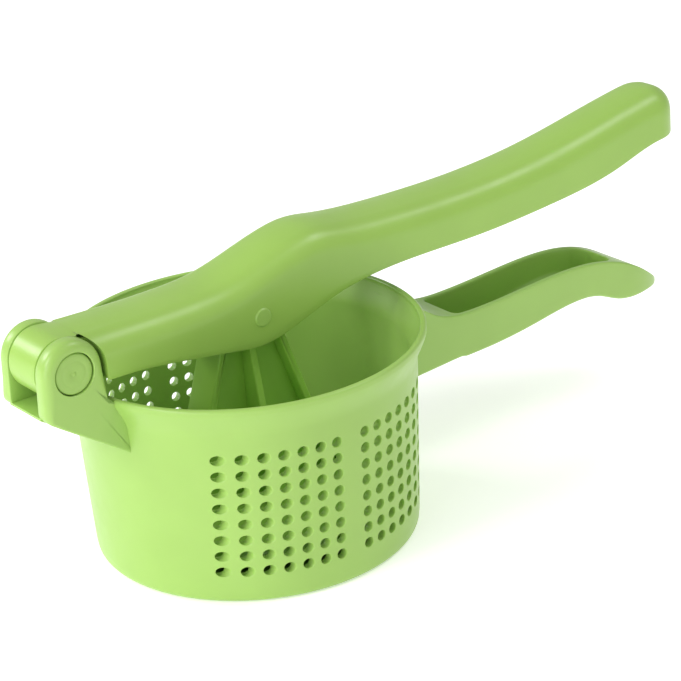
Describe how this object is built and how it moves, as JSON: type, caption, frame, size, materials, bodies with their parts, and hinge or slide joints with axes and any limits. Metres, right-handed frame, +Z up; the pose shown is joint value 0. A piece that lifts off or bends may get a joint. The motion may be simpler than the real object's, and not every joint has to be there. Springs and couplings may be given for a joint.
{
  "type": "potato ricer",
  "caption": "Hand-held potato ricer: perforated cup with a grip and hinge bracket, press lever and hinged ribbed plunger.",
  "frame": {"origin": "middle of the cup's flat underside", "axes": "+Z up along the cup; +X towards the two grips, -X the hinge side; the hinge and plunger pins lie along Y"},
  "size_m": [0.201, 0.09, 0.0819],
  "materials": {
    "shell_green": "satin moulded polypropylene",
    "lever_green": "satin moulded polypropylene",
    "plunger_green": "satin moulded polypropylene",
    "pin_green": "satin moulded plastic"
  },
  "bodies": {
    "basket": {"basket": "shell_green", "hinge_pin": "pin_green", "hinge_pin_cap": "pin_green"},
    "lever": {"lever": "lever_green", "plunger_pin": "pin_green"},
    "plunger": {"plunger": "plunger_green"}
  },
  "joints": [
    {"name": "lever_hinge", "type": "hinge", "parent": "basket", "child": "lever", "pos_m": [-0.053, 0, 0.062], "axis": [0, -1, 0], "range_deg": [-4.2, 60]},
    {"name": "plunger_tilt", "type": "hinge", "parent": "lever", "child": "plunger", "pos_m": [0, 0, 0.0592], "axis": [0, -1, 0], "range_deg": [-39.7, 2.9]}
  ],
  "couplings": [
    {"joint": "plunger_tilt", "follows": "lever_hinge", "ratio": -0.66}
  ]
}
